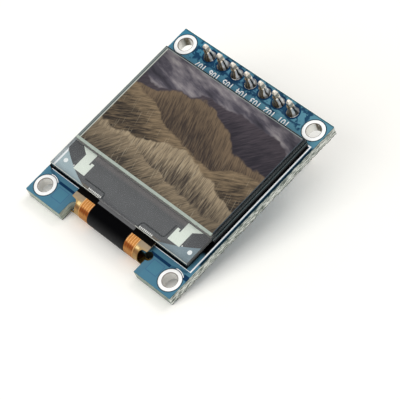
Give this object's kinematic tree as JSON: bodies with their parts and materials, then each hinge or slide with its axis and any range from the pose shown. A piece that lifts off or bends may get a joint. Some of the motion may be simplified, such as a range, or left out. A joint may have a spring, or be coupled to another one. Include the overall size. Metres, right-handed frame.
{
  "type": "oled display module",
  "caption": "Small colour OLED glass panel on a blue notched circuit board, with plated corner holes, a pin header and a film tail folded to the rear.",
  "frame": {"origin": "centre of the four corner holes, on the board's rear face", "axes": "+Z out of the display, +Y towards the pin header, +X along the header"},
  "size_m": [0.0274, 0.0308, 0.0139],
  "materials": {
    "board_laminate": "satin solder mask over glass-fibre laminate",
    "tinned_ring": "bright tinned",
    "tinned_pad": "bright tinned",
    "header_plastic": "moulded black",
    "pin_metal": "plated",
    "solder": "bright solder",
    "black_tape": "matte",
    "rear_glass": "dark backed",
    "seal_resin": "cured resin",
    "emitter": "lit picture layer",
    "front_glass": "clear, ground edges",
    "polariser": "glossy film over the lit picture",
    "mark_metal": "thin bright metal",
    "bond_metal": "thin bright metal",
    "ledge_resin": "grey cured resin",
    "film": "amber film",
    "copper_left": "bright copper",
    "copper_right": "bright copper",
    "cover_band": "black cover film",
    "driver_silicon": "bare die",
    "film_solder": "solder",
    "regulator_plastic": "moulded black",
    "regulator_tin": "tinned",
    "converter_plastic": "moulded black",
    "converter_tin": "tinned",
    "ferrite": "pressed ferrite",
    "diode_plastic": "moulded black",
    "capacitor_ceramic": "tan ceramic",
    "resistor_coat": "black glaze",
    "terminal_tin": "tinned"
  },
  "bodies": {
    "root": {"circuit_board": "board_laminate", "corner_eyelets": "tinned_ring", "header_pads": "tinned_pad", "header_housing": "header_plastic", "header_pins": "pin_metal", "header_solder_joints": "solder", "mounting_tape": "black_tape", "rear_glass": "rear_glass", "edge_seal": "seal_resin", "emitter_layer": "emitter", "front_glass": "front_glass", "polariser": "polariser", "alignment_marks": "mark_metal", "bond_pads": "bond_metal", "ledge_resin": "ledge_resin", "flex_film": "film", "left_copper_tracks": "copper_left", "right_copper_tracks": "copper_right", "flex_cover_band": "cover_band", "driver_chip": "driver_silicon", "flex_solder_joints": "film_solder", "regulator": "regulator_plastic", "regulator_leads": "regulator_tin", "boost_converter": "converter_plastic", "boost_converter_leads": "converter_tin", "inductor": "ferrite", "schottky_diode": "diode_plastic", "capacitors": "capacitor_ceramic", "resistors": "resistor_coat", "part_terminals": "terminal_tin"}
  },
  "joints": []
}
